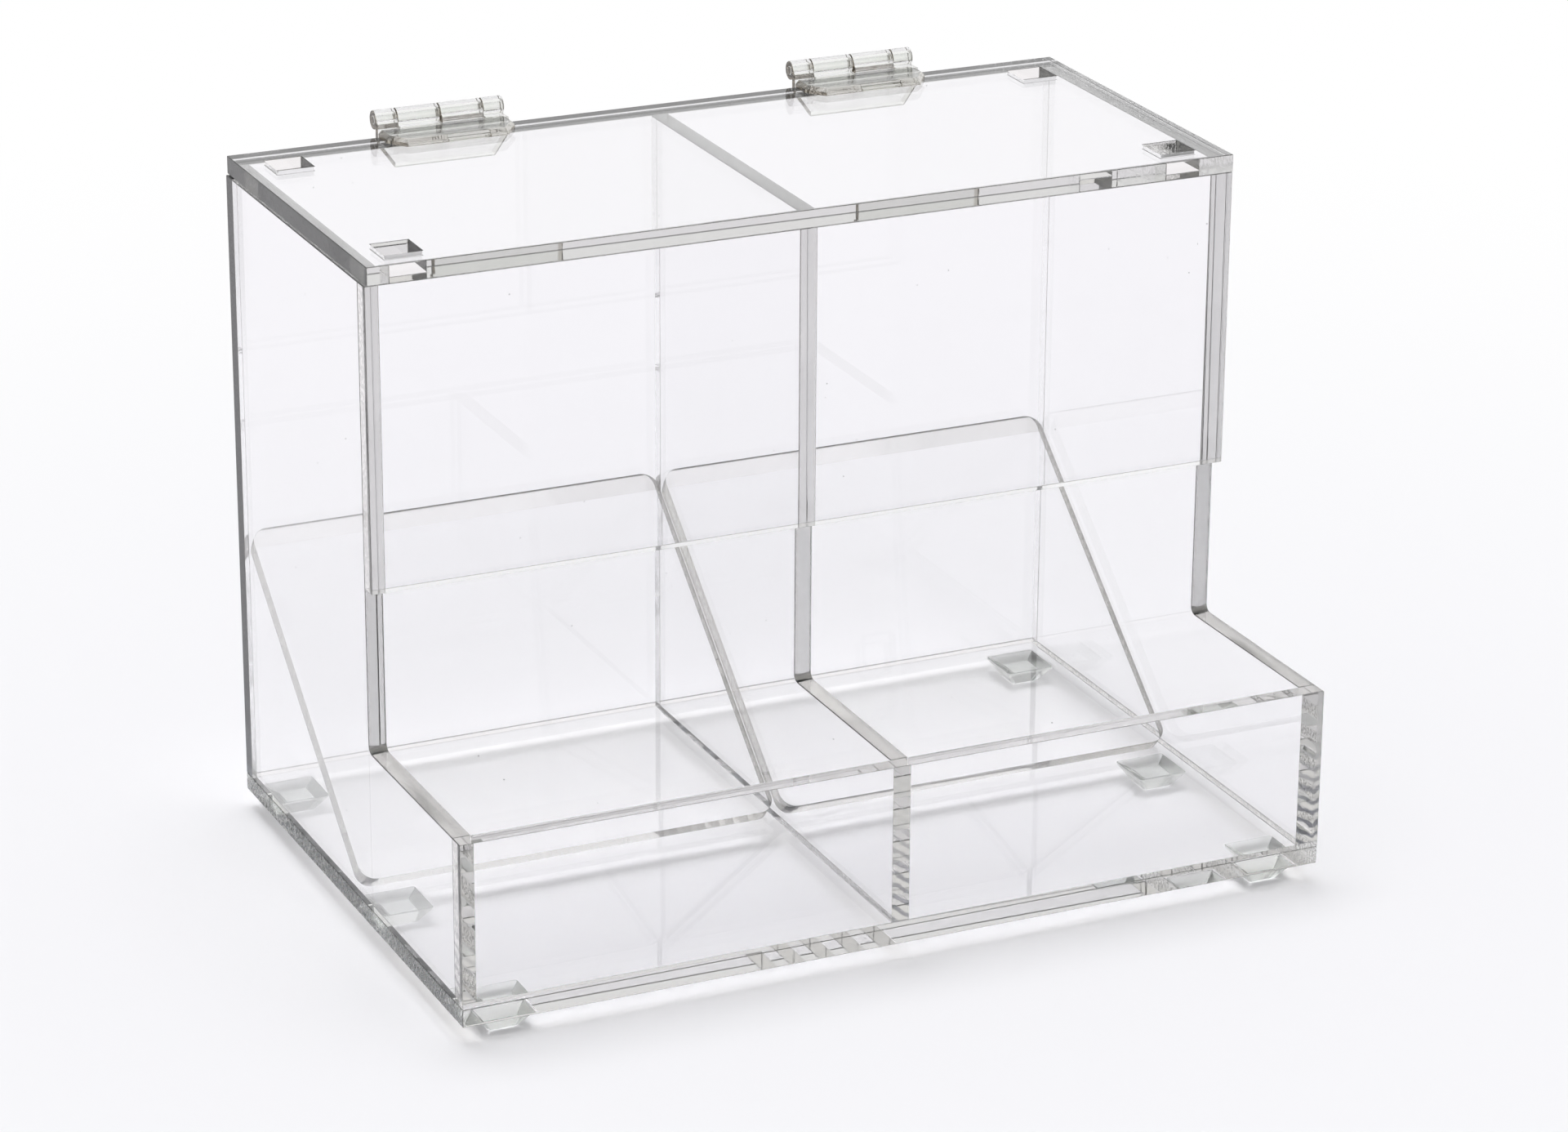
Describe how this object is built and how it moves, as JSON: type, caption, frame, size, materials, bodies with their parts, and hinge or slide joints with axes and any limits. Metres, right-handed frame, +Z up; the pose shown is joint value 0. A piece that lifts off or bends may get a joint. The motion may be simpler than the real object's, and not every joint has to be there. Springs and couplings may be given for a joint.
{
  "type": "retail display bin",
  "caption": "Clear acrylic gravity bin with a hinged, stackable lid over divided hoppers, sloping ramps that feed an open front tray, and tapered square feet.",
  "frame": {"origin": "under the middle of the bin's box, on the surface that the feet stand on", "axes": "+X along the width, to the right seen from the tray; +Y from the tray to the hinges; +Z up"},
  "size_m": [0.3, 0.2078, 0.2362],
  "materials": {
    "acrylic_sheet": "clear polished sheet with saw-cut edges",
    "hinge_plastic": "clear injection moulding",
    "foot_plastic": "clear moulding, slightly green"
  },
  "bodies": {
    "root": {"base_plate": "acrylic_sheet", "back_panel": "acrylic_sheet", "left_side_panel": "acrylic_sheet", "right_side_panel": "acrylic_sheet", "divider_panel": "acrylic_sheet", "upper_front_panel": "acrylic_sheet", "tray_front_panel": "acrylic_sheet", "left_ramp": "acrylic_sheet", "right_ramp": "acrylic_sheet", "left_hinge_back_leaf": "hinge_plastic", "left_hinge_pin": "hinge_plastic", "right_hinge_back_leaf": "hinge_plastic", "right_hinge_pin": "hinge_plastic", "front_left_foot": "foot_plastic", "front_right_foot": "foot_plastic", "middle_left_foot": "foot_plastic", "middle_right_foot": "foot_plastic", "rear_left_foot": "foot_plastic", "rear_right_foot": "foot_plastic"},
    "lid": {"lid": "acrylic_sheet", "left_hinge_lid_leaf": "hinge_plastic", "right_hinge_lid_leaf": "hinge_plastic"}
  },
  "joints": [
    {"name": "lid_hinge", "type": "hinge", "parent": "root", "child": "lid", "pos_m": [0, 0.10072, 0.23305], "axis": [-1, 0, 0], "range_deg": [0, 270]}
  ]
}
